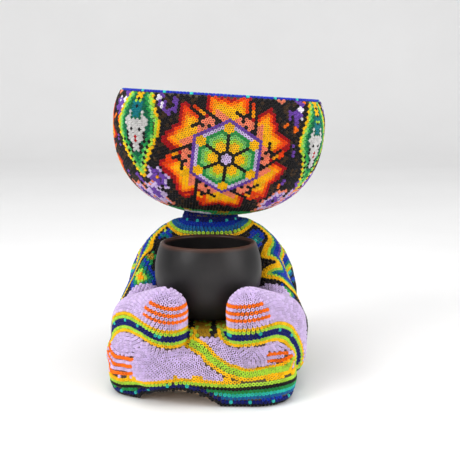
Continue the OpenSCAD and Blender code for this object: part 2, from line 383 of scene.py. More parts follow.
def bands(value, edges, names, fallback):
    """Colour numbers by which band a value falls in: below edges[0] is names[0], and so on."""
    out = np.full(len(value), INDEX[fallback])
    for e, n in reversed(list(zip(edges, names))):
        out[value < e] = INDEX[n]
    return out


def paint(col, mask, name):
    """Gives the masked beads this colour."""
    col[mask] = INDEX[name]


def flame_outline():
    """A twelve-pointed star round the medallion, in bead widths: [turn, radius] in each sixth."""
    sixth = ((-8.5, 18.4), (2.4, 12.2), (14, 18.7), (30, 15.7))
    ends = [(math.radians(60 * k) + math.radians(turn), r) for k in range(6) for turn, r in sixth]
    return [(r * math.cos(t), r * math.sin(t)) for t, r in ends]


def turned(p, angle):
    """Plane points in axes turned by this angle."""
    c, s = math.cos(angle), math.sin(angle)
    return np.stack([p[:, 0] * c + p[:, 1] * s, p[:, 1] * c - p[:, 0] * s], 1)


# The salmon shape and its black branch, in bead widths from the medallion's middle.
MOTIF = (
    (9.6, 3.5), (11.9, 2.9), (13.0, 1.9), (11.9, 0.3), (9.7, -2.1), (8.4, -0.9), (9.3, 0.9), (8.6, 2.4)
)
MOTIF_LINES = (
    ((9.3, -2.8), (13.8, -0.3)), ((12.1, 1.1), (15.4, 3.1)), ((10.9, 4.4), (11.0, 2.8)),
    ((11.0, 2.8), (10.1, 1.9)), ((11.0, 2.8), (11.9, 2.0)),
)


def motif_sector(col, uv, beyond):
    """The salmon shape with its branch and long black lines, in one sixth of the medallion."""
    paint(col, (polygon_depth(uv, MOTIF) > -0.1) & beyond, "salmon")
    paint(col, (line_distance(uv, (9.9, -3.9), (11.7, -2.9)) < 0.95) & beyond, "salmon")
    paint(col, (line_distance(uv, (12.6, 0.2), (14.4, 1.3)) < 0.5) & beyond, "amber")
    paint(col, (line_distance(uv, (14.6, 1.4), (15.8, 2.1)) < 0.5) & beyond, "red_orange")
    for a, b in MOTIF_LINES:
        paint(col, (line_distance(uv, a, b) < 0.5) & beyond, "black")
    for c in ((9.2, 0.5), (9.1, -1.5)):
        paint(col, (np.hypot(uv[:, 0] - c[0], uv[:, 1] - c[1]) < 0.55) & beyond, "black")


def dark_ground(count):
    """Black beads with a few brown ones among them."""
    return np.where(RNG.random(count) < 0.20, INDEX["brown"], INDEX["black"])


def flames(col, star, allowed):
    """The star of flames round a medallion; star is in bead widths with a side's middle at angle 0."""
    into = polygon_depth(star, flame_outline())
    flame = bands(
        into, (0.85, 1.4, 2.0, 2.6), ("red", "red_orange", "orange", "amber"), "yellow"
    )
    on = (into > 0) & allowed
    col[on] = flame[on]
    for i in range(6):
        uv = turned(star, math.radians(60 * i))
        near = np.abs(np.arctan2(uv[:, 1], uv[:, 0])) < math.radians(30.5)
        motif_sector(col, uv, allowed & near)


def medallion_heart(col, cube):
    """The six-petal middle of the medallion and the hexagon round it."""
    k = np.abs(cube).max(1)
    spoke = np.abs(cube).min(1) == 0
    petal = np.min([
        np.abs(cube - m).max(1)
        for m in ((2, 2, -4), (-2, 4, -2), (-4, 2, 2), (-2, -2, 4), (2, -4, 2), (4, -2, -2))
    ], 0)
    inner = bands(petal, (1.5, 2.5, 3.5, 4.5), ("yellow", "lime", "pale_green", "green"), "emerald")
    inside = (k > 2) & (k < 9)
    col[inside] = inner[inside]
    paint(col, (k > 1) & (k < 8) & spoke, "black")
    paint(col, k == 2, "black")
    paint(col, k < 2, "lilac")
    paint(col, k == 9, "lilac")
    paint(col, k == 10, "purple")
    corner = np.min([
        np.abs(cube - np.array(m) * 8).max(1)
        for m in ((1, -1, 0), (0, -1, 1), (-1, 0, 1), (-1, 1, 0), (0, 1, -1), (1, 0, -1))
    ], 0)
    paint(col, corner < 2, "yellow")


def star_flower(col, du, dv, size, names):
    """A six-pointed flower of nested colours."""
    r = np.hypot(du, dv)
    t = np.arctan2(dv, du)
    m = r / (size * (0.86 + 0.16 * np.cos(6 * t + 0.6)))
    for edge, n in zip((1.0, 0.76, 0.50, 0.18), names):
        paint(col, m < edge, n)


# Spots between the medallion and its neighbours: degrees from its middle, depth, size, colour.
SPOTS = (
    (-37.6, 5.0, 2.6, "purple"), (-34.8, 9.0, 3.0, "purple"), (-37.4, 5.0, 1.9, "white"),
    (-35.3, 9.6, 1.8, "white"), (-37.3, 1.4, 1.6, "purple"), (-31.5, 1.4, 2.2, "purple"),
    (-28.5, 6.5, 2.2, "purple"), (-27.4, 11.2, 1.8, "purple"), (-31, 12.5, 1.4, "purple"),
    (41.4, 2.6, 2.2, "purple"), (44.5, 4.4, 2.0, "purple"), (34.0, 8.6, 1.9, "purple"),
    (33.6, 12.0, 1.9, "purple"), (39.0, 9.6, 2.9, "purple"), (38.7, 14.6, 2.4, "purple"),
    (42.6, 7.4, 1.9, "white"), (41.9, 11.8, 2.2, "white"), (30.5, 17.7, 1.6, "orange"),
    (32.3, 16.6, 1.4, "orange"), (38.0, 18.2, 1.5, "orange"), (37.3, 20.6, 1.4, "orange"),
    (47.4, 3.4, 1.6, "orange"), (28.2, 2.6, 1.5, "salmon"), (30.2, 3.4, 1.4, "salmon"),
    (37.2, 28.2, 1.2, "purple"), (37.7, 31.4, 1.3, "purple"), (38.4, 34.7, 1.2, "purple"),
    (35.7, 53.3, 1.4, "orange"), (37.6, 51.9, 1.3, "purple"), (38.8, 50.5, 1.2, "purple"),
    (-71.4, 7.0, 1.8, "white"), (-71.4, 11.0, 2.2, "purple"), (-59.3, 51.7, 1.8, "purple"),
    (-56.8, 54.5, 1.6, "purple"),
)
FLOWERS = (
    (-40.6, 51.6, 8.4, ("lilac", "purple", "purple", "amber")),
    (-49.9, 62.1, 9.2, ("salmon", "lilac", "purple", "black")),
    (42.2, 63.4, 10.2, ("salmon", "lilac", "purple", "black")),
    (58.0, 62.0, 8.4, ("lilac", "lilac", "purple", "purple")),
)


def flower_field(col, turn, d):
    """Small flowers and spots; turn is in degrees from a medallion's middle."""
    rho = bowl_radii(d.clip(0, PATTERN_LOW))
    for at, depth, size, names in FLOWERS:
        star_flower(col, np.radians(turn - at) * rho, (d - depth) * 1.12, size, names)
    for at, depth, size, name in SPOTS:
        paint(col, np.hypot(np.radians(turn - at) * rho, d - depth) < size, name)


# Half width of the eye at each depth, and of the head in it.
EYE_HALF = (
    (0, 9.5), (1, 10.6), (9.5, 15.4), (19, 20.3), (25, 19.8), (31, 16.3), (40, 10.8), (47, 6.0), (54, -0.5)
)
HEAD_HALF = ((17, 10.0), (22, 9.8), (26, 7.4), (29, 6.8), (32, 4.0), (35, 3.4), (38, 0.8))


def eye_colours(col, u, d):
    """The pointed eye with a plain pale animal head; u is the arc from its middle."""
    half = np.interp(d, *zip(*EYE_HALF))
    into = (half - np.abs(u)) * np.where(d > 26, 0.86, 0.93)
    inner = bands(
        into, (1.7, 3.4, 5.0, 7.4, 9.6), ("yellow", "lime", "pale_green", "green", "emerald"), "teal"
    )
    within = into > 0
    col[within] = inner[within]
    au = np.abs(u)
    paint(col, within & (au < 3.6) & (d < 12) & ((au + d) % 4.6 < 2.2), "lime")
    paint(col, within & (au < 3.4) & (d < 6), "yellow")
    paint(col, (au < 1.2) & ((d % 5.2) < 2.2) & (d < 18), "black")
    ears = (d > 12.2) & (d < 21) & (np.abs(au - 6.4) < (d - 11.6) * 0.36)
    head_w = np.interp(d, *zip(*HEAD_HALF))
    head = (d > 18.4) & (d < 37.4) & (au < head_w)
    rim = (d > 10.6) & (d < 21) & (np.abs(au - 6.4) < (d - 10.0) * 0.36 + 1.4)
    edge = (d > 17) & (d < 39.5) & (au < head_w + 2.0)
    paint(col, (edge | rim) & (into > 3.5), "emerald")
    paint(col, ((head_w < au) & (au < head_w + 1.2) & (d > 24) & (d < 37)) & (into > 3), "black")
    paint(col, head | ears, "grey")
    paint(col, np.hypot(au - 4.3, (d - 23.8) * 0.8) < 1.15, "black")
    paint(col, np.hypot(u, d - 30.0) < 1.9, "red")
    stripe = (d > 30) & (d < 47) & (au > 3.8) & ((d - 1.15 * au) % 5.4 < 1.6)
    paint(col, within & stripe, "black")


# Degrees from the front of each medallion's middle, and of each eye's middle with how low it is set.
MEDALLIONS = (5.2, 117.5, -103.0)
EYES = ((-47.0, 0.0), (64.0, 4.6), (186.5, 2.0))
STAR_AXIS = math.radians(28)
FLAME_AXIS = STAR_AXIS - math.radians(30)


def off(a, b):
    """Signed angle from b to a in degrees."""
    return (a - b + 180) % 360 - 180


def bowl_pattern(turn, d):
    """Everything on the bowl's outside but the medallions' middles; turn is degrees from the front."""
    col = dark_ground(len(turn))
    rho = bowl_radii(d.clip(0, PATTERN_LOW))
    depth = np.linspace(0.5, PATTERN_LOW, 200)
    arc = np.concatenate([[0], np.cumsum(np.hypot(np.diff(depth), np.diff(bowl_radii(depth))))])
    up = np.interp(MEDALLION_DEPTH, depth, arc) - np.interp(d, depth, arc)
    for mid in MEDALLIONS:
        flower_field(col, off(turn, mid), d)
        plane = np.stack([np.radians(off(turn, mid)) * (rho + 68) / 2, up], 1) / STEP
        flames(col, turned(plane, FLAME_AXIS), np.hypot(*plane.T) < 21)
    for mid, low in EYES:
        near = np.abs(off(turn, mid)) < 40
        part = col[near]
        eye_colours(part, np.radians(off(turn, mid))[near] * 67, d[near] - low)
        col[near] = part
    band = d > 71.0
    paint(col, band, "green")
    paint(col, band & (np.sin(np.radians(turn) * 9) > 0.7), "gold")
    return col


def bowl_surface(azimuth, spread, pattern_turn, axis):
    """Beads of one slice of the bowl's outside, from its rim down to its foot ring."""
    cube = lattice(44)
    plane = lattice_plane(cube, axis)
    length = np.hypot(*plane.T)
    keep = length < 92
    cube, plane, length = cube[keep], plane[keep], length[keep]
    middle = math.radians(pattern_turn - 90)
    p, n = walk(middle, MEDALLION_DEPTH, np.arctan2(plane[:, 1], plane[:, 0]), length, -BEAD)
    turn = (np.arctan2(p[:, 1], p[:, 0]) - azimuth + math.pi) % (2 * math.pi) - math.pi
    d = -p[:, 2]
    edge = 0.45 / np.maximum(np.hypot(p[:, 0], p[:, 1]), 5)
    inside = (np.abs(turn) < spread / 2 - edge) & (d > RIM_T + 0.9) & (d < DEPTH - 5.6)
    return cube[inside], plane[inside], p[inside], n[inside]


# How far round the bowl each kind of panel goes: three of each make the whole turn.
MEDALLION_SPREAD = math.radians(76)
EYE_SPREAD = math.radians(120 - 76)

# Beads already set on the outside of the bowl.
OUTSIDE = []


def finish_panel(name, slot, p, n, col, azimuth, spread):
    """Drops beads that crowd those already set, fills what gaps are left at the edges, and shows them."""
    edge_p, edge_n = panel_edges(azimuth, spread)
    fresh = np.concatenate([p, edge_p])
    keep = spaced(fresh, OUTSIDE, 1.86, len(p))
    col = np.concatenate([col, bowl_pattern(turn_of(edge_p), -edge_p[:, 2])])[keep]
    p, n = fresh[keep], np.concatenate([n, edge_n])[keep]
    OUTSIDE.extend(p.tolist())
    bowl_piece(name, slot, p, n, col)


def panel_edges(azimuth, spread):
    """Spare places close along the four edges of a panel."""
    d = np.arange(RIM_T + 0.95, DEPTH - 5.5, 0.3)
    p = []
    rho = bowl_radii(d)
    for side in (-1, 1):
        for inset in (0.5, 1.0, 1.6):
            t = azimuth + side * (spread / 2 - inset / rho)
            p.append(polar(rho, t, -d))
    t = azimuth + np.arange(-spread / 2, spread / 2, 0.004)
    for depth in (RIM_T + 0.95, DEPTH - 5.6):
        p.append(polar(bowl_radius(depth, -BEAD), t, -depth))
    return onto_bowl(np.concatenate(p), -BEAD)


class Grid:
    """Points kept in cells, to find quickly whether a place is too near one already taken."""

    def __init__(self, points=()):
        self.cells = {}
        for q in points:
            self.add(q)

    def cell(self, q):
        return tuple(int(c // PITCH) for c in q)

    def add(self, q):
        self.cells.setdefault(self.cell(q), []).append(q)

    def taken(self, q, gap2):
        """Whether a point is nearer than the square root of gap2."""
        x, y, z = self.cell(q)
        return any(
            (o[0] - q[0]) ** 2 + (o[1] - q[1]) ** 2 + (o[2] - q[2]) ** 2 < gap2
            for a in (x - 1, x, x + 1) for b in (y - 1, y, y + 1) for c in (z - 1, z, z + 1)
            for o in self.cells.get((a, b, c), ())
        )


def spaced(points, fixed, least, first):
    """Indices of points that keep this distance from the fixed ones and from each other."""
    grid, keep = Grid(fixed), []
    for i, q in enumerate(points.tolist()):
        if not grid.taken(q, least * least if i >= first else (least - 0.1) ** 2):
            grid.add(q)
            keep.append(i)
    return np.array(keep)


def medallion(name, azimuth, pattern_turn):
    """A panel with a flower in a hexagon in a star of flames."""
    cube, plane, p, n = bowl_surface(azimuth, MEDALLION_SPREAD, pattern_turn, STAR_AXIS)
    col = bowl_pattern(turn_of(p), -p[:, 2])
    star = turned(plane / STEP, FLAME_AXIS)
    close = np.hypot(*star.T) < 19.6
    mine = dark_ground(len(p))
    flames(mine, star, close)
    swap = close & ((np.hypot(*star.T) < 14) | (mine != INDEX["black"]) & (mine != INDEX["brown"]))
    col[swap] = mine[swap]
    medallion_heart(col, cube)
    finish_panel(name, "beads_orange", p, n, col, azimuth, MEDALLION_SPREAD)


def eye_panel(name, azimuth, pattern_turn):
    """A narrower panel with a pointed eye."""
    _, _, p, n = bowl_surface(azimuth, EYE_SPREAD, pattern_turn, math.radians(90))
    col = bowl_pattern(turn_of(p), -p[:, 2])
    finish_panel(name, "beads_green", p, n, col, azimuth, EYE_SPREAD)


def ring_rows(rows, facing):
    """Beads in level rings: each row is [radius, height, outward slope angle]; facing -1 is inward."""
    p, n, where = [], [], []
    for k, (r, z, slope) in enumerate(rows):
        count = max(1, int(2 * math.pi * r / PITCH))
        t = (np.arange(count) + 0.5 * (k % 2)) * 2 * math.pi / count
        p.append(polar(r, t, z))
        n.append(polar(math.cos(slope), t, math.sin(slope)) * facing)
        where.append(np.stack([np.full(count, k), t], 1))
    return np.concatenate(p), np.concatenate(n), np.concatenate(where)


def profile_rows(g, d0, d1, spacing):
    """Evenly spaced rows down the bowl's profile: [radius, height, slope of the outward normal]."""
    d = np.concatenate([np.linspace(0, WAIST, 60), np.linspace(WAIST, DEPTH + g - 1e-4, 900)[1:]])
    r = bowl_radii(d, g)
    s = np.concatenate([[0], np.cumsum(np.hypot(np.diff(r), np.diff(d)))])
    at = np.arange(np.interp(d0, d, s), np.interp(d1, d, s), spacing)
    rr, dd = np.interp(at, s, r), np.interp(at, s, d)
    p = np.stack([rr, np.zeros(len(rr)), -dd], 1)
    n = unit(bowl_f(p, g)[1])
    return [(a, -b, math.asin(max(-1, min(1, m[2])))) for a, b, m in zip(rr, dd, n)]


def bowl_foot():
    """Green rings with pale patches round the underside of the bowl."""
    rows = [r for r in profile_rows(-BEAD, DEPTH - 4.6, DEPTH - BEAD - 0.01, ROW) if r[0] > 18.6]
    p, n, where = ring_rows(rows, 1)
    k, t = where[:, 0], where[:, 1]
    col = bands(k % 5, (0.5, 1.5, 2.5, 3.5), ("green", "gold", "green", "emerald"), "turquoise")
    patch = (np.sin(3 * t + 1.2) > 0.55) & (k < 4)
    paint(col, patch, "white")
    paint(col, patch & (k == 1), "lilac")
    bowl_piece("bowl_foot_ring", "beads_green", p, n, col)


def bowl_rim():
    """Level rings on the bowl's edge, blue with a few turquoise beads."""
    inner = bowl_radius(0, -2 * 2.6 - 3.0)
    outer = bowl_radius(0, 0)
    radii = np.arange(outer - 1.15, inner + 0.9, -1.95)
    p, n, where = ring_rows([(r, -RIM_T + 0.1, math.pi / 2) for r in radii], 1)
    col = bands(where[:, 0], (1.5, 2.5, 3.5), ("royal", "turquoise", "navy"), "royal")
    paint(col, (where[:, 0] < 1) & (np.sin(where[:, 1] * 23) > 0.97), "turquoise")
    bowl_piece("bowl_rim_beads", "beads_royal_blue", p, n, col)


def bowl_inside():
    """Wavy bands inside the bowl, in three parts."""
    rows = [r for r in profile_rows(-WALL_IN, RIM_T + 1.2, DEPTH - WALL_IN - 0.01, ROW) if r[0] > 1.0]
    p, n, where = ring_rows(rows, -1)
    k, t = where[:, 0], where[:, 1]
    wave = (k + 3.0 * np.abs((t * 6 / math.pi) % 2 - 1)) % 14
    col = bands(
        wave, (2, 3, 4, 6, 7, 8, 9, 10, 12),
        ("navy", "blue", "steel", "turquoise", "lime", "yellow", "orange", "red", "black"), "purple",
    )
    paint(col, k < 2, "navy")
    parts = (("upper", k < 14), ("middle", (k >= 14) & (k < 29)), ("low", k >= 29))
    for part, m in parts:
        name = "bowl_inside_beads_" + part
        bowl_piece("bowl_inside_beads", "beads_dark_blue", p[m], n[m], col[m], name)


# ---------- The body's surface ----------

# The arch under the crossed legs as [x, z, radius], then the lines that the body's patterns follow:
# the hem's top edge as [x, z], and the others as [x, y, z].
ARCH = (-17.0, 9.5 - 35.0, 35.0)
HEM_LINE = (
    (-60, 11.5), (-50, 11.5), (-31, 15.6), (-14, 18.2), (2, 17.2), (16, 16.0), (25, 16.8), (39, 17.2),
    (60, 16.4),
)
CUFF_LEFT = (
    (-11, -88, 40.4), (-13.5, -96, 40.3), (-21, -102.5, 40.1), (-30, -101, 42.5),
    (-38, -95, 45.2), (-46, -85, 46.0), (-52.5, -75, 43.2), (-57, -66, 37), (-59.5, -58, 28), (-60, -54, 18),
)
CUFF_RIGHT = (
    (11, -88, 39.6), (14, -97, 40.2), (22, -102.5, 41.6), (32, -100.5, 42.8),
    (39.3, -93.5, 42.6), (47, -84, 38.8), (52.5, -77.5, 31), (55, -74, 24), (55, -73, 17),
)
SHIN_LINE = (
    (-12, -92.5, 37.2), (-7.5, -95.5, 36.0), (-4, -97.5, 34.2), (2.8, -99.5, 29.2), (11, -101, 23.6),
    (20.5, -99.5, 20.2), (30, -97, 19.6), (42, -91, 20.4), (49, -84, 20.6),
)
SLEEVE_RIGHT = (
    (19.5, -4, 92.3), (30, -3, 88.5), (38.2, -3.3, 83.8), (39.1, -7.6, 80.1), (34.4, -19.2, 73.3),
    (45, -20.5, 68.2), (33.7, -36, 63.7), (44.8, -38, 58.5), (54.5, -24.3, 50.5), (57.5, -22, 40),
    (57.5, -20, 28), (57, -18, 16),
)
SLEEVE_LEFT = (
    (-18.5, -5, 92.4), (-28, -4, 88), (-36.5, -4, 82.5), (-40.5, -11.4, 75.2), (-45.5, -14, 70.5),
    (-48.5, -22, 64), (-52, -27, 55), (-55.5, -29, 45), (-57.5, -26, 34), (-57.5, -22, 22), (-57, -20, 16),
)
NECK_RING_Z = NECK_TOP - 0.4


def quad_data(me):
    """Vertices in millimetres, edges and triangles of a mesh."""
    v = np.zeros(len(me.vertices) * 3)
    me.vertices.foreach_get("co", v)
    e = np.zeros(len(me.edges) * 2, np.int64)
    me.edges.foreach_get("vertices", e)
    me.calc_loop_triangles()
    t = np.zeros(len(me.loop_triangles) * 3, np.int64)
    me.loop_triangles.foreach_get("vertices", t)
    return v.reshape(-1, 3) / MM, e.reshape(-1, 2), t.reshape(-1, 3)


def relaxed(v, e, rounds):
    """Smooths a mesh without shrinking it."""
    deg = np.bincount(e.ravel(), minlength=len(v)).astype(float)
    for i in range(rounds * 2):
        k = 0.52 if i % 2 == 0 else -0.54
        total = np.stack([
            np.bincount(e[:, 0], v[e[:, 1], c], len(v)) + np.bincount(e[:, 1], v[e[:, 0], c], len(v))
            for c in range(3)
        ], 1)
        v = v + k * (total / deg[:, None] - v)
    return v


def vertex_normals(v, t):
    """Normals of vertices, weighted by the area of their triangles."""
    f = np.cross(v[t[:, 1]] - v[t[:, 0]], v[t[:, 2]] - v[t[:, 0]])
    n = np.stack([
        sum(np.bincount(t[:, k], f[:, c], len(v)) for k in range(3)) for c in range(3)
    ], 1)
    return unit(n)


# The cup's box, its lip and foot radii, its wall, and the height of its widest level.
CUP_LO, CUP_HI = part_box("clay_cup")
CUP_Z = CUP_LO.z / MM
CUP_H = (CUP_HI.z - CUP_LO.z) / MM
CUP_Y = (CUP_LO.y + CUP_HI.y) / 2 / MM
CUP_R = (CUP_HI.x - CUP_LO.x) / 2 / MM
LIP_R = 28.2
FOOT_R = 17.0
WALL = 3.0
WIDE_Z = 0.61 * CUP_H


def cup_radius(z):
    """The cup's outer radius at this height above its foot."""
    z = np.asarray(z, float)
    low = CUP_R * np.sqrt(np.clip(1 - (1 - (FOOT_R / CUP_R) ** 2) * ((WIDE_Z - z) / WIDE_Z) ** 2, 0, 1))
    high = CUP_R - (CUP_R - LIP_R) * ((z - WIDE_Z) / (CUP_H - WIDE_Z)) ** 2
    return np.where(z < WIDE_Z, low, high)


def cup_clearance(p):
    """Distance from each point to the space that the cup passes through on its way out."""
    joint = frame["joints"][0]
    axis, reach = np.array(joint["axis"]), joint["range_m"][1] / MM
    best = np.full(len(p), 1e9)
    for s in np.linspace(0, reach, 57):
        q = p - axis * s - [0, CUP_Y, CUP_Z]
        rho = np.hypot(q[:, 0], q[:, 1])
        side = rho - cup_radius(q[:, 2].clip(0, CUP_H))
        best = np.minimum(best, np.maximum(side, np.maximum(-q[:, 2], q[:, 2] - CUP_H)))
    return best


def body_surface():
    """The wax's outer surface over the body: smooth, with its vertex normals."""
    src = frame["nodes"]["body_core"]
    ob = put("body_form", src.data.copy())
    m = ob.modifiers.new("even", "REMESH")
    m.mode = "VOXEL"
    m.voxel_size = 1.3 * MM
    graph = bpy.context.evaluated_depsgraph_get()
    me = bpy.data.meshes.new_from_object(ob.evaluated_get(graph))
    v, e, t = quad_data(me)
    bpy.data.objects.remove(ob)
    bpy.data.meshes.remove(me)
    v = relaxed(v, e, 60)
    n = vertex_normals(v, t)
    room = cup_clearance(v)
    v = v + n * np.clip(room - 0.45, 0, 1.0)[:, None]
    return v, vertex_normals(v, t), t


# ---------- Distances over the surface ----------

class Surface:
    """A triangle mesh on which distances are measured along the surface."""

    def __init__(self, v, n, t, usable):
        self.v, self.n = v, n
        self.t = t[usable[t].all(1)]
        self.usable = usable
        self.fan = [[] for _ in range(len(v))]
        for a, b, c in self.t.tolist():
            self.fan[a].append((b, c))
            self.fan[b].append((c, a))
            self.fan[c].append((a, b))
        self.pts = v.tolist()

    def spread(self, seeds, limit):
        """Distance from the seeds, {vertex: (distance, label)}, and the label of the nearest one."""
        d, lab = [math.inf] * len(self.v), [0] * len(self.v)
        done = bytearray(len(self.v))
        heap = []
        for i, (x, k) in seeds.items():
            d[i], lab[i] = x, k
            heap.append((x, i))
        heapq.heapify(heap)
        pts, fan, step = self.pts, self.fan, front_step
        while heap:
            x, i = heapq.heappop(heap)
            if done[i] or x > limit:
                continue
            done[i] = 1
            for a, b in fan[i]:
                for w, o in ((a, b), (b, a)):
                    if done[w]:
                        continue
                    y = step(pts[w], pts[i], pts[o], x, d[o]) if done[o] else x + gap(pts[w], pts[i])
                    if y < d[w]:
                        d[w], lab[w] = y, lab[i]
                        heapq.heappush(heap, (y, w))
        return np.array(d), np.array(lab)


def gap(p, q):
    """Distance between two points."""
    return math.sqrt((p[0] - q[0]) ** 2 + (p[1] - q[1]) ** 2 + (p[2] - q[2]) ** 2)


def front_step(c, a, b, da, db):
    """Distance at c from a straight front that passes a at da and b at db."""
    ab = gap(a, b)
    ac = gap(a, c)
    bc = gap(b, c)
    plain = min(da + ac, db + bc)
    if ab < 1e-9:
        return plain
    g = (db - da) / ab
    if abs(g) >= 1:
        return plain
    cx = (ac * ac - bc * bc + ab * ab) / (2 * ab)
    cy = math.sqrt(max(ac * ac - cx * cx, 0))
    gy = math.sqrt(1 - g * g)
    at = cx - cy * g / gy
    if at < 0 or at > ab:
        return plain
    return min(da + g * cx + gy * cy, plain)


def along(points):
    """A closer-spaced smooth line through these points."""
    p = np.array(points, float)
    q = np.concatenate([[2 * p[0] - p[1]], p, [2 * p[-1] - p[-2]]])
    out = []
    for i in range(1, len(q) - 2):
        for t in np.linspace(0, 1, 9)[:-1]:
            a, b, c, d = q[i - 1], q[i], q[i + 1], q[i + 2]
            out.append(0.5 * (
                2 * b + (c - a) * t + (2 * a - 5 * b + 4 * c - d) * t * t
                + (3 * b - 3 * c + d - a) * t ** 3
            ))
    out.append(p[-1])
    return np.array(out)


def to_line(v, line):
    """Distance to a line of points, the nearest place on it and its direction there."""
    best = np.full(len(v), 1e9)
    near = np.zeros((len(v), 3))
    way = np.zeros((len(v), 3))
    for a, b in zip(line[:-1], line[1:]):
        d = b - a
        t = (((v - a) @ d) / max(d @ d, 1e-9)).clip(0, 1)
        q = a + t[:, None] * d
        r = np.linalg.norm(v - q, axis=1)
        m = r < best
        best[m], near[m], way[m] = r[m], q[m], d / max(np.linalg.norm(d), 1e-9)
    return best, near, way


def seeds_at(mask, dist, first=True):
    """Seeds at the vertices in the mask, {vertex: (distance, label)}; the label is 1 or else 2."""
    first = np.broadcast_to(first, mask.shape)
    return {int(i): (max(0.0, float(dist[i])), 1 if first[i] else 2) for i in np.nonzero(mask)[0]}


def line_seeds(s, points, flip=1):
    """Seeds beside a line: label 1 on one side and 2 on the other; flip swaps them."""
    r, near, way = to_line(s.v, onto_surface(s, along(points)))
    side = ((s.v - near) * np.cross(s.n, way)).sum(1) * flip > 0
    return seeds_at((r < 2.4) & s.usable, r, side)


def outward(s, seeds, side):
    """The same seeds with label 1 on the side of the line that is further out or further back."""
    total = {1: [], 2: []}
    for i, (x, k) in seeds.items():
        total[k].append(s.v[i, 0] * (1 if side > 0 else -1) + 0.6 * s.v[i, 1])
    if np.mean(total[1]) > np.mean(total[2]):
        return seeds
    return {i: (x, 3 - k) for i, (x, k) in seeds.items()}


def onto_surface(s, line):
    """The line's points moved onto the usable surface."""
    pts = s.v[s.usable]
    out = []
    for p in line:
        d = ((pts - p) ** 2).sum(1)
        k = np.argsort(d)[:6]
        w = 1 / (d[k] + 0.05)
        out.append((pts[k] * w[:, None]).sum(0) / w.sum())
    return np.array(out)


def hem_height(v):
    """Height of the hem's top edge in front of, beside or behind each point."""
    xs, zs = zip(*HEM_LINE)
    front = np.interp(v[:, 0], xs, zs)
    back = (v[:, 1] + 72).clip(0, 36) / 36
    return front * (1 - back) + 16.6 * back


def level_rows(s, field, mask, levels):
    """Rows of points where the field has these values, each with normals: [(level number, p, n)]."""
    t = s.t[mask[s.t].all(1)]
    f = field[t]
    lo, hi = f.min(1), f.max(1)
    out = []
    for k, level in levels:
        hit = t[(lo < level) & (hi >= level)]
        if not len(hit):
            continue
        links, where = {}, {}
        for tri in hit.tolist():
            ends = []
            for a, b in ((tri[0], tri[1]), (tri[1], tri[2]), (tri[2], tri[0])):
                fa, fb = field[a], field[b]
                if (fa < level) != (fb < level):
                    key = (a, b) if a < b else (b, a)
                    if key not in where:
                        w = (level - field[key[0]]) / (field[key[1]] - field[key[0]])
                        where[key] = (key[0], key[1], w)
                    ends.append(key)
            if len(ends) == 2:
                links.setdefault(ends[0], []).append(ends[1])
                links.setdefault(ends[1], []).append(ends[0])
        for chain in chains(links):
            i = np.array([where[c][0] for c in chain])
            j = np.array([where[c][1] for c in chain])
            w = np.array([where[c][2] for c in chain])[:, None]
            out.append((k, s.v[i] * (1 - w) + s.v[j] * w, unit(s.n[i] * (1 - w) + s.n[j] * w)))
    return out


def chains(links):
    """Joins linked keys end to end."""
    left = dict(links)
    starts = [k for k, v in links.items() if len(v) == 1] + list(links)
    for first in starts:
        if first not in left:
            continue
        chain, at = [first], first
        del left[first]
        while True:
            step = [x for x in links[at] if x in left]
            if not step:
                break
            at = step[0]
            del left[at]
            chain.append(at)
        if links[chain[-1]] and chain[0] in links[chain[-1]] and len(chain) > 3:
            chain.append(first)
        if len(chain) > 2:
            yield chain


def columns_at(at, s, p):
    """Rows of p, whose places along a path are s, at other places along it."""
    return np.stack([np.interp(at, s, p[:, c]) for c in range(3)], 1)


def tree_of(points):
    """A search tree of points, numbered in order."""
    tree = KDTree(len(points))
    for i, q in enumerate(points):
        tree.insert(q, i)
    tree.balance()
    return tree


class Placer:
    """Sets beads along rows, then eases them along those rows until they are evenly spread."""

    def __init__(self):
        self.grid = Grid()
        self.at, self.row, self.kind = [], [], []
        self.s, self.p, self.n = [], [], []
        self.ends = []
        self.reach = 0.0

    def run(self, kind, rows, least=1.98, step=0.15, skip=14):
        """Adds rows [number, points, normals], with as many beads on each as fit beside earlier ones."""
        for k, p, n in rows:
            s = np.concatenate([[0], np.cumsum(np.linalg.norm(np.diff(p, axis=0), axis=1))])
            total = s[-1]
            if total < 1.2:
                continue
            base = self.reach + 10
            self.s.append(s + base)
            self.p.append(p)
            self.n.append(n)
            self.reach = base + total
            fine = np.arange(0.3, total - 0.2, step)
            places = columns_at(fine, s, p).tolist()
            i = 0
            while i < len(places):
                if self.grid.taken(places[i], least * least):
                    i += 1
                    continue
                self.grid.add(places[i])
                self.at.append(base + fine[i])
                self.ends.append((base + 0.3, self.reach - 0.3))
                self.row.append(k)
                self.kind.append(kind)
                i += skip

    def spots(self, at):
        """Points and normals at these places along the rows."""
        s = np.concatenate(self.s)
        p, n = np.concatenate(self.p), np.concatenate(self.n)
        return columns_at(at, s, p), unit(columns_at(at, s, n))

    def settle(self, rounds=36, reach=2.75):
        """Moves beads along their rows, away from neighbours nearer than reach."""
        at, ends = np.array(self.at), np.array(self.ends)
        for r in range(rounds):
            p, _ = self.spots(at)
            q, _ = self.spots(at + 0.3)
            way = unit(q - p)
            if r % 9 == 0:
                tree = tree_of(p.tolist())
                pairs = np.array([
                    (i, j)
                    for i, c in enumerate(p.tolist())
                    for _, j, _ in tree.find_range(c, reach + 0.5) if j != i
                ])
            d = p[pairs[:, 0]] - p[pairs[:, 1]]
            dist = np.linalg.norm(d, axis=1)
            push = np.maximum(reach - dist, 0) / np.maximum(dist, 0.3)
            along_row = (d * way[pairs[:, 0]]).sum(1) * push
            move = np.bincount(pairs[:, 0], along_row, len(p)) * 0.16
            at = (at + move.clip(-0.35, 0.35)).clip(ends[:, 0], ends[:, 1])
        return self.spots(at)


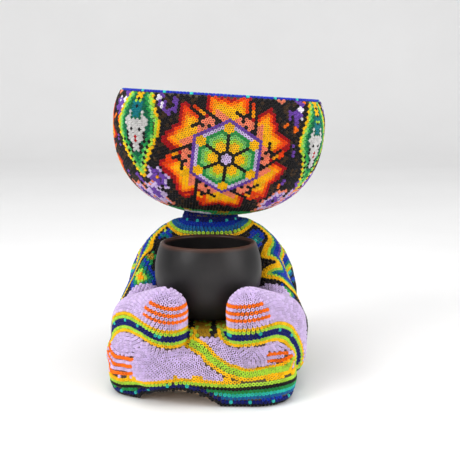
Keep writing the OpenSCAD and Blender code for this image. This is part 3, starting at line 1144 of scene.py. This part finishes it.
def levels(lo, hi):
    """Numbered row positions ROW apart, half a row off zero."""
    first, last = math.ceil(lo / ROW - 0.5), math.floor(hi / ROW - 0.5)
    return [(k, (k + 0.5) * ROW) for k in range(first, last + 1)]


def usable_vertices(v, n):
    """Those on the sides: not underneath, in the arch or on the neck's end."""
    rx, rz = v[:, 0] - ARCH[0], v[:, 2] - ARCH[1]
    r = np.hypot(rx, rz)
    inward = (n[:, 0] * rx + n[:, 2] * rz) / r < -0.62
    arch = (r < ARCH[2] + 0.9) & inward & (np.abs(rx) < 30) & (v[:, 1] < -49)
    under = (v[:, 2] < 1.2) & (n[:, 2] < -0.8)
    end = (v[:, 2] > NECK_TOP - 2.6) & (n[:, 2] > 0.6)
    return ~(arch | under | end)


def body_fields(s):
    """Every field of distances that the rows and colours of the body follow."""
    v, f = s.v, {}
    f["cuff"], f["side"] = s.spread({**line_seeds(s, CUFF_LEFT, -1), **line_seeds(s, CUFF_RIGHT)}, 60)
    f["shin"], f["shin_side"] = s.spread(line_seeds(s, SHIN_LINE), 40)
    lift = v[:, 2] - hem_height(v)
    wall = np.sqrt(np.maximum(1 - s.n[:, 2] ** 2, 0.09))
    near = (np.abs(lift) < 1.6) & s.usable & (np.abs(s.n[:, 2]) < 0.9)
    seeds = seeds_at(near, np.abs(lift / wall), lift > 0)
    f["hem_only"], _ = s.spread(seeds, 40)
    edge = (f["side"] == 2) & (np.abs(f["cuff"] - 5.7) < 1.3) & (np.abs(v[:, 0]) > 50) & (lift > 0)
    f["hem"], _ = s.spread({**seeds, **seeds_at(edge, f["cuff"] - 5.7)}, 60)
    seeds = {}
    for line in (SLEEVE_LEFT, SLEEVE_RIGHT):
        seeds.update(outward(s, line_seeds(s, line), line[0][0]))
    f["sleeve"], f["sleeve_side"] = s.spread(seeds, 24)
    low = v[:, 2] < 2.4
    rim = s.usable & (low | open_edge(s)) & (v[:, 2] < 13)
    f["edge"], _ = s.spread(seeds_at(rim, np.where(low, v[:, 2] - 0.9, 0.3)), 30)
    neck = s.usable & (v[:, 2] > 95.0) & (np.hypot(v[:, 0], v[:, 1]) < 20)
    f["neck"], _ = s.spread(seeds_at(neck, NECK_RING_Z - v[:, 2]), 200)
    return f


def open_edge(s):
    """Vertices on the border of the usable surface."""
    count = {}
    for a, b, c in s.t.tolist():
        for e in ((a, b), (b, c), (c, a)):
            key = e if e[0] < e[1] else (e[1], e[0])
            count[key] = count.get(key, 0) + 1
    out = np.zeros(len(s.v), bool)
    for (a, b), k in count.items():
        if k == 1:
            out[a] = out[b] = True
    return out


# ---------- Where each kind of bead goes on the body ----------

def signed(f, name):
    """The distance, negative on the side labelled 2."""
    return np.where(f[name + "_side"] == 1, f[name], -f[name])


# Half widths of the cuffs and of the narrow bands, how far down the collar reaches, and the sleeve
# band's two edges, as distances over the surface.
CUFF_HALF = 5.75
BAND_HALF = 3.85
COLLAR = 14.3
SLEEVE_BAND = (-3.9, 15.3)


def split_body(s, f):
    """Masks over the vertices, one for each region, in the order in which they take their beads."""
    v = s.v
    x, y, z = v.T
    ax = np.abs(x)
    lift = z - hem_height(v)
    hand_side = f["side"] == 1
    front = y < -44
    cuff = (f["cuff"] < CUFF_HALF) & front & (lift > 0)
    lap = (ax < 28.5) & (y > -93) & (y < -20) & (z > 36.5) & (z < 44.5) & ~cuff
    leg = front & (z < 46) & ~hand_side
    shin = (f["shin"] < BAND_HALF) & leg & (x > -13) & (x < 50.5) & (y < -78)
    hand = hand_side & (y < -46) & (z < 74)
    sleeve = signed(f, "sleeve")
    masks = {}
    left = s.usable.copy()
    for name, m in (
        ("edge", (f["edge"] < BAND_HALF) & (lift < 0)), ("hem", lift < 0), ("cuff", cuff),
        ("lap", lap & (~hand | (ax < 17.5))), ("shin", shin & ~cuff),
        ("instep", leg & (f["shin_side"] == 1) & (f["shin"] < 26)), ("foot", leg), ("hand", hand),
        ("collar", f["neck"] < COLLAR),
        ("sleeve", (sleeve > SLEEVE_BAND[0]) & (sleeve < SLEEVE_BAND[1]) & (ax > 14)),
        ("torso", left),
    ):
        masks[name] = left & m
        left = left & ~m
    return masks


def grown(s, mask):
    """The mask with one more ring of vertices round it, so that rows reach its border."""
    out = mask.copy()
    hit = s.t[mask[s.t].any(1)]
    out[hit.ravel()] = True
    return out & s.usable


# Orange bars on the ends of the feet, as points [x, y, z] from the inner end outward. The left
# foot has three, each one a step below the last.
BAR_LEFT = (
    (-43.5, -89, 25), (-51, -79.5, 23.5), (-55.5, -73.5, 22.5), (-58.5, -69.5, 24.5), (-59.5, -62, 29),
)
BAR_STEP = np.array((-0.5, 0, -4.6))
BARS_RIGHT = (
    ((35, -95, 29.5), (41, -89, 28.5), (47, -85, 28)),
    ((35, -93, 25), (43, -88, 24), (49.5, -82, 25.5)),
)


def bar_rows(s):
    """Rows along the bars, and one row between each pair of bars: [(region name, row)]."""
    out = []
    for foot in ([BAR_LEFT + i * BAR_STEP for i in range(3)], BARS_RIGHT):
        laid = [onto_surface(s, along(line)) for line in foot]
        between = [onto_surface(s, (a + b) / 2) for a, b in zip(laid[:-1], laid[1:])]
        for name, lines in (("bar", laid), ("foot", between)):
            out += [(name, (0, p, s.n[nearest(s, p)])) for p in lines]
    return out


def place_body(s, f, masks):
    """Beads of the whole body: positions, normals, row numbers and region names."""
    cuff = np.where(f["side"] == 1, f["cuff"], -f["cuff"])
    shin = signed(f, "shin")
    plan = (
        ("cuff", cuff, levels(-4.8, 4.8)),
        ("shin", shin, levels(-2.9, 2.9)),
        ("edge", f["edge"], levels(0.9, 2.9)),
        ("hem", f["hem_only"], levels(0.9, 24)),
        ("hand", cuff, levels(6.5, 60)),
        ("foot", f["hem"], levels(0.9, 50)),
        ("instep", shin, levels(3.7, 26)),
        ("lap", s.v[:, 1] * -1.0, levels(18, 96)),
        ("collar", f["neck"], levels(0.9, COLLAR)),
        ("sleeve", signed(f, "sleeve"), levels(*SLEEVE_BAND)),
        ("torso", f["neck"], levels(14.4, 190)),
    )
    out = Placer()
    for name, row in bar_rows(s):
        out.run(name, [row])
    for name, field, rows in plan:
        out.run(name, level_rows(s, field, grown(s, masks[name]), rows))
    p, n = out.settle()
    row, kind = np.array(out.row), np.array(out.kind)
    spare = np.nonzero(s.usable)[0]
    keep = spaced(np.concatenate([p, s.v[spare]]), [], 1.9, len(p))
    keep = spare[keep[keep >= len(p)] - len(p)]
    names = np.full(len(s.v), "torso  ")
    rows = np.zeros(len(s.v), int)
    for name, field, _ in plan:
        names[masks[name]] = name
        rows[masks[name]] = np.floor(field[masks[name]].clip(-90, 200) / ROW).astype(int)
    names = np.char.strip(names)
    names[(names == "hem") & (f["hem_only"] < 1.1)] = "foot"
    return (
        np.concatenate([p, s.v[keep]]), np.concatenate([n, s.n[keep]]),
        np.concatenate([row, rows[keep]]), np.concatenate([kind, names[keep]]),
    )


# ---------- Colours of the body's beads ----------

def cuff_colours(p, k):
    """Six rows: yellow, lime, navy with dots, navy, lime, yellow."""
    col = bands(k, (-2.5, -1.5, -0.5, 0.5, 1.5), ("yellow", "lime", "navy", "navy", "lime"), "yellow")
    paint(col, (k == 0) & dots(p, 11.0, 1.9), "turquoise")
    return col


def dots(p, every, long):
    """True on short stretches along a row, by the angle round the figure's middle."""
    t = np.arctan2(p[:, 0], -(p[:, 1] + 30)) * 58
    return (t % every) < long


def hand_colours(p, k):
    """Lilac with three orange bars on the fingers."""
    col = np.full(len(p), INDEX["lilac"])
    x, y = np.abs(p[:, 0]), p[:, 1]
    for row, end in ((5, 34.5), (7, 33.5), (9, 31.7)):
        paint(col, (k == row) & (x > 10) & (x < end) & (y < -74), "orange")
    return col


def hem_colours(p, k):
    """Bands that follow the hem's top edge."""
    return bands(
        k, (0.5, 1.5, 2.5, 3.5, 4.5, 5.5), ("yellow", "lime", "black", "green", "turquoise", "steel"), "blue"
    )


def edge_colours(p, k):
    """The two rows along the bottom edge: black, and navy with turquoise dots."""
    col = np.where(k < 1, INDEX["black"], INDEX["navy"])
    paint(col, (k == 1) & dots(p, 9.6, 1.8), "turquoise")
    return col


def lap_colours(p, k):
    """Gold with lime, black notches and a blue patch at each side."""
    col = np.full(len(p), INDEX["gold"])
    x = p[:, 0]
    paint(col, RNG.random(len(p)) < 0.22, "lime")
    paint(col, np.abs((x + 3.0) % 13 - 6.5) < 1.5, "black")
    paint(col, np.abs(np.abs(x) - 21) < 3.0, "blue")
    return col


def shin_colours(p, k):
    """Two lime rows between two yellow ones."""
    return np.where(np.abs(k + 0.5) < 1, INDEX["lime"], INDEX["yellow"])


def collar_colours(p, k):
    """Rings down from the neck, with turquoise dots in the second."""
    col = bands(k, (1.5, 3.5, 5.5, 6.5), ("navy", "blue", "steel", "lime"), "yellow")
    t = np.arctan2(p[:, 1], p[:, 0])
    paint(col, (k == 1) & ((t * 6 / math.pi) % 1 < 0.25), "turquoise")
    return col


def chest_colours(p):
    """Black and a few brown beads, with a short blue line."""
    col = np.full(len(p), INDEX["black"])
    paint(col, RNG.random(len(p)) < 0.10, "brown")
    paint(col, (np.abs(p[:, 0]) < 9) & (np.abs(p[:, 2] - 82) < 1.2), "blue")
    return col


def diamond(col, du, dv, names, edges):
    """Nested diamonds, each out to its edge."""
    m = np.abs(du) + np.abs(dv)
    for e, n in reversed(list(zip(edges, names))):
        paint(col, m < e, n)


def sleeve_rows(k):
    """Rows outward from a sleeve's zigzag: yellow on it, then lime, teal, blue, purple, lime, yellow."""
    return bands(
        k, (-1.5, 0.5, 1.5, 2.5, 4.5, 5.5, 6.5),
        ("black", "yellow", "lime", "teal", "blue", "purple", "lime"), "yellow",
    )


def arm_front_colours(p, side):
    """Black inner side of a sleeve with its flower, dots and diamond."""
    col = np.full(len(p), INDEX["black"])
    x, y, z = p.T
    if side < 0:
        star_flower(col, x + 28.2, z - 87.4 + 0.4 * (y + 10), 6.8, ("blue", "teal", "blue", "lime"))
        diamond(col, (x + 37.9) / 3.4, (z - 71.4) / 3.4, ("gold", "green"), (0.7, 1.2))
        diamond(
            col, (x + 42.6) / 7, (z - 62.1) / 6, ("amber", "lime", "green", "teal", "blue"),
            (0.32, 0.62, 0.92, 1.22, 1.7),
        )
    else:
        star_flower(col, x - 29.8, z - 82.3, 7.0, ("blue", "blue", "teal", "turquoise"))
        diamond(
            col, (x - 46) / 7, (z - 52) / 6, ("yellow", "lime", "green", "teal", "blue"),
            (0.32, 0.62, 0.92, 1.22, 1.5),
        )
    return col


def back_colours(p):
    """Zigzag rings and a row of diamonds on black."""
    t = np.arctan2(p[:, 0], p[:, 1]) * 6 / math.pi
    zig = np.abs((t % 2) - 1) * 7.0
    h = p[:, 2] + zig
    col = bands(
        h % 30, (1.9, 3.8, 5.7, 9.5, 11.4, 13.3, 24.0, 26.0, 28.0),
        ("yellow", "lime", "teal", "blue", "purple", "lime", "black", "navy", "steel"), "turquoise",
    )
    du = ((t + 1) % 2 - 1) * 8.5
    dv = (p[:, 2] + 3.5) % 30 - 18.5
    diamond(col, du / 5, dv / 5, ("yellow", "orange", "red_orange", "green"), (0.3, 0.6, 0.85, 1.1))
    return col


def torso_colours(col, f, near, p, kind):
    """Colours of the torso: the fronts of the sleeves, the chest between them and the back."""
    x, y, z = p.T
    torso = kind == "torso"
    inside = signed(f, "sleeve")[near] < 0
    front = torso & (y < 6) & (inside | (np.abs(x) < 20))
    for m, side in ((front & (x < 0), -1), (front & (x >= 0), 1)):
        col[m] = arm_front_colours(p[m], side)
    inner = torso & (np.abs(x) < 24) & (z < 86) & (y < 0)
    col[inner] = chest_colours(p[inner])
    outer = torso & ~front & ~inner
    col[outer] = back_colours(p[outer])


def body_colours(f, near, p, k, kind):
    """A colour number for every bead of the body."""
    col = np.full(len(p), INDEX["lilac"])
    col[kind == "bar"] = INDEX["orange"]
    for name, rule in (
        ("cuff", cuff_colours), ("hand", hand_colours), ("hem", hem_colours), ("edge", edge_colours),
        ("lap", lap_colours), ("collar", collar_colours), ("shin", shin_colours),
    ):
        m = kind == name
        col[m] = rule(p[m], k[m])
    torso_colours(col, f, near, p, kind)
    col[kind == "sleeve"] = sleeve_rows(k[kind == "sleeve"])
    return col


def body_parts(f, near, p, kind):
    """Which beads belong to each node: [node, slot, mask]."""
    x, y, _ = p.T
    torso = (kind == "torso") | (kind == "sleeve")
    foot = (kind == "foot") | (kind == "instep") | (kind == "bar")
    foot_left = (f["shin_side"][near] == 2) & (x < 50)
    hand, cuff = kind == "hand", kind == "cuff"
    chest = torso & (np.abs(x) < 31.5) & (y < 6)
    back = torso & (y >= 6)
    sleeve = torso & ~chest & ~back
    return (
        ("collar_beads", "beads_dark_blue", kind == "collar"),
        ("chest_beads", "beads_black", chest),
        ("back_beads", "beads_black", back),
        ("sleeve_left_beads", "beads_blue", sleeve & (x < 0)),
        ("sleeve_right_beads", "beads_blue", sleeve & (x > 0)),
        ("hand_left_beads", "beads_lilac", hand & (x < 0)),
        ("hand_right_beads", "beads_lilac", hand & (x >= 0)),
        ("cuff_left_beads", "beads_yellow", cuff & (x < 0)),
        ("cuff_right_beads", "beads_yellow", cuff & (x >= 0)),
        ("foot_left_beads", "beads_lilac", foot & foot_left),
        ("foot_right_beads", "beads_lilac", foot & ~foot_left),
        ("shin_band_beads", "beads_lime", kind == "shin"),
        ("hem_beads", "beads_green", (kind == "hem") | (kind == "edge")),
        ("lap_beads", "beads_gold", kind == "lap"),
    )


def body_beads():
    """All beads of the body, clear of the cup's way and of the floor, and the wax under them."""
    v, n, t = body_surface()
    s = Surface(v, n, t, usable_vertices(v, n))
    f = body_fields(s)
    p, n, k, kind = place_body(s, f, split_body(s, f))
    clear = (cup_clearance(p + n * 1.4) > 0.35) & (cup_clearance(p) > 1.0)
    p, n, k, kind = p[clear], n[clear], k[clear], kind[clear]
    low = p[:, 2] + 1.36 * np.minimum(n[:, 2], 0) - 1.09 * np.sqrt(1 - n[:, 2] ** 2)
    p[:, 2] += np.maximum(0.03 - low, 0)
    near = nearest(s, p)
    col = body_colours(f, near, p, k, kind)
    for node, slot, m in body_parts(f, near, p, kind):
        bead_piece(node, slot, p[m], n[m], col[m])
    body_wax(s)


def nearest(s, p):
    """Index of the surface vertex nearest each point."""
    tree = tree_of(s.pts)
    return np.array([tree.find(q)[1] for q in p.tolist()])


def wax_material(name):
    """Dark brown wax."""
    return noise_material(name, (0.035, 0.020, 0.009), (0.09, 0.055, 0.02), 160, 0.55, 0.12)


def body_wax(s):
    """The wax skin in which the beads stand."""
    me = mesh_from("body_wax", np.maximum(s.v, (-1e3, -1e3, 0.02)) * MM, s.t)
    me.materials.append(wax_material("wax_dark"))
    show("body_wax_skin", me, "figure", "body_wax", "wax")


# ---------- Cup, bowl and plain parts ----------

def clay_material():
    """Burnished black clay, a little browner at the lip."""
    m = noise_material("clay_black", (0.009, 0.0085, 0.009), (0.020, 0.018, 0.018), 38, 0.42, 0.10, 8.0)
    nt = m.node_tree
    p = nt.nodes["Principled BSDF"]
    p.inputs["Specular IOR Level"].default_value = 0.22
    tex = add(nt, "TexCoord")
    marks = add(nt, "TexNoise", Scale=14)
    span = add(nt, "MapRange", To_Min=0.36, To_Max=0.50)
    height = add(nt, "SeparateXYZ")
    top = (CUP_Z + CUP_H) * MM
    lip = add(nt, "MapRange", From_Min=top - 2.6 * MM, From_Max=top - 0.6 * MM)
    mix = add(nt, "Mix")
    mix.data_type = "RGBA"
    mix.inputs["B"].default_value = (0.052, 0.022, 0.014, 1)
    plain = p.inputs["Base Color"].links[0].from_socket
    join(
        nt, (tex.outputs["Object"], marks.inputs["Vector"]), (marks.outputs["Fac"], span.inputs["Value"]),
        (span.outputs["Result"], p.inputs["Roughness"]), (tex.outputs["Object"], height.inputs["Vector"]),
        (height.outputs["Z"], lip.inputs["Value"]), (lip.outputs["Result"], mix.inputs["Factor"]),
        (plain, mix.inputs["A"]), (mix.outputs["Result"], p.inputs["Base Color"]),
    )
    return m


def cup_profile():
    """Outside from the middle of the foot up, over the rounded lip and down the inside, [radius, height]."""
    zs = np.linspace(0, CUP_H - WALL / 2, 60)
    foot = [(0, 0.9), (FOOT_R - 4, 0.9), (FOOT_R - 2.2, 0.0), (FOOT_R - 0.9, 0.0)]
    outside = [(float(cup_radius(z)), float(z)) for z in zs[1:]]
    mid = float(cup_radius(CUP_H - WALL / 2)) - WALL / 2
    lip = [
        (mid + WALL / 2 * math.cos(a), CUP_H - WALL / 2 + WALL / 2 * math.sin(a))
        for a in np.linspace(0.2, math.pi - 0.2, 12)
    ]
    inside = [
        (max(float(cup_radius(z)) - WALL, 0), float(z)) for z in zs[::-1] if z > WALL + 2.5
    ]
    r0, z0 = inside[-1]
    bend = [
        (r0 - (1 - math.cos(a)) * 4.0, z0 - (z0 - WALL) * math.sin(a))
        for a in np.linspace(0.2, math.pi / 2, 6)
    ]
    return foot + outside + lip + inside + bend + [(0, WALL)]


def clay_cup():
    """The cup, turned from its profile with its faces outward."""
    co, quads = lathe(cup_profile(), 128)
    me = mesh_from("clay_cup_body", (co + (0, CUP_Y, CUP_Z)) * MM, quads[:, (1, 0, 3, 2)])
    me.materials.append(clay_material())
    show("clay_cup_body", me, "cup", "clay_cup", "clay")


def dress_cad(node, material):
    """Gives a part of the frame this material."""
    ob = frame["nodes"][node]
    ob.data.materials.clear()
    ob.data.materials.append(material)


def plain_parts():
    """Materials of the parts that show little or not at all."""
    wax = wax_material("wax_bowl")
    dress_cad("bowl_wax_outside", wax)
    dress_cad("bowl_wax_inside", wax)
    for node, *look in (
        ("gourd_bowl", "gourd_skin", (0.30, 0.15, 0.05), (0.48, 0.27, 0.11), 60, 0.5, 0.2),
        ("body_core", "core_fibre", (0.33, 0.20, 0.11), (0.50, 0.34, 0.20), 90, 0.8, 0.3),
        ("neck_dowel", "dowel_wood", (0.28, 0.16, 0.07), (0.46, 0.29, 0.14), 45, 0.6, 0.2),
    ):
        dress_cad(node, noise_material(*look))


def bowl():
    """Every bead field of the bowl, medallions first."""
    third = math.radians(120)
    medallion("bowl_medallion_front", TURN, MEDALLIONS[0])
    medallion("bowl_medallion_right", TURN + third, MEDALLIONS[1])
    medallion("bowl_medallion_left", TURN - third, MEDALLIONS[2])
    eye_panel("bowl_eye_panel_left", TURN - third / 2, EYES[0][0])
    eye_panel("bowl_eye_panel_right", TURN + third / 2, EYES[1][0])
    eye_panel("bowl_eye_panel_back", TURN + math.pi, EYES[2][0])
    bowl_foot()
    bowl_rim()
    bowl_inside()


# ---------- Floor, light and camera ----------

def floor():
    """A pale round floor that curves up into a plain wall all round."""
    line = [(0.0, 0.0), (0.6, 0.0), (1.9, 0.0)]
    line += [(1.9 + 0.6 * math.sin(a), 0.6 - 0.6 * math.cos(a)) for a in np.linspace(0.08, math.pi / 2, 18)]
    line += [(2.5, 2.6)]
    co, quads = lathe(line, 96)
    me = mesh_from("floor", co, quads[:, (1, 0, 3, 2)])
    paper = noise_material("floor_paper", (0.86, 0.855, 0.85), (0.89, 0.885, 0.88), 3, 0.8, 0.05)
    me.materials.append(paper)
    put("floor", me)


def soft_light(name, where, aim, size, power):
    """A white area light; lengths are in metres."""
    light = bpy.data.lights.new(name, "AREA")
    light.shape = "RECTANGLE"
    light.size, light.size_y = size
    light.energy = power
    ob = put(name, light)
    ob.location = where
    ob.rotation_euler = (Vector(aim) - Vector(where)).to_track_quat("-Z", "Y").to_euler()


def lighting():
    """A window from the left, weaker light from elsewhere, and a pale surrounding."""
    aim = (0, -0.03, 0.09)
    soft_light("window_left", (-0.85, -0.75, 0.75), aim, (0.6, 0.8), 10.5)
    soft_light("front_low", (0.1, -1.1, 0.12), aim, (1.4, 0.3), 1.8)
    soft_light("fill_right", (0.95, -0.55, 0.45), aim, (0.5, 0.7), 6)
    soft_light("backdrop", (0, 0.9, 1.9), (0, 2.5, 0.9), (2.4, 0.8), 11)
    soft_light("ceiling", (0.0, -0.1, 1.25), aim, (1.0, 1.0), 8.4)
    world = bpy.data.worlds.new("studio")
    world.use_nodes = True
    back = world.node_tree.nodes["Background"]
    back.inputs["Color"].default_value = (0.95, 0.97, 1.0, 1)
    back.inputs["Strength"].default_value = 0.42
    bpy.context.scene.world = world


def camera():
    """From the front and a little above, without depth of field."""
    cam = bpy.data.cameras.new("camera")
    cam.lens = 70.43
    cam.sensor_width = 36
    ob = put("camera", cam)
    ob.location = (13 * MM, -587 * MM, 175 * MM)
    ob.rotation_euler = (math.radians(90 - 8.56), 0, 0)
    bpy.context.scene.camera = ob
    bpy.context.scene.view_settings.view_transform = "Standard"


body_beads()
bowl()
clay_cup()
plain_parts()
floor()
lighting()
camera()
bpy.context.view_layer.update()
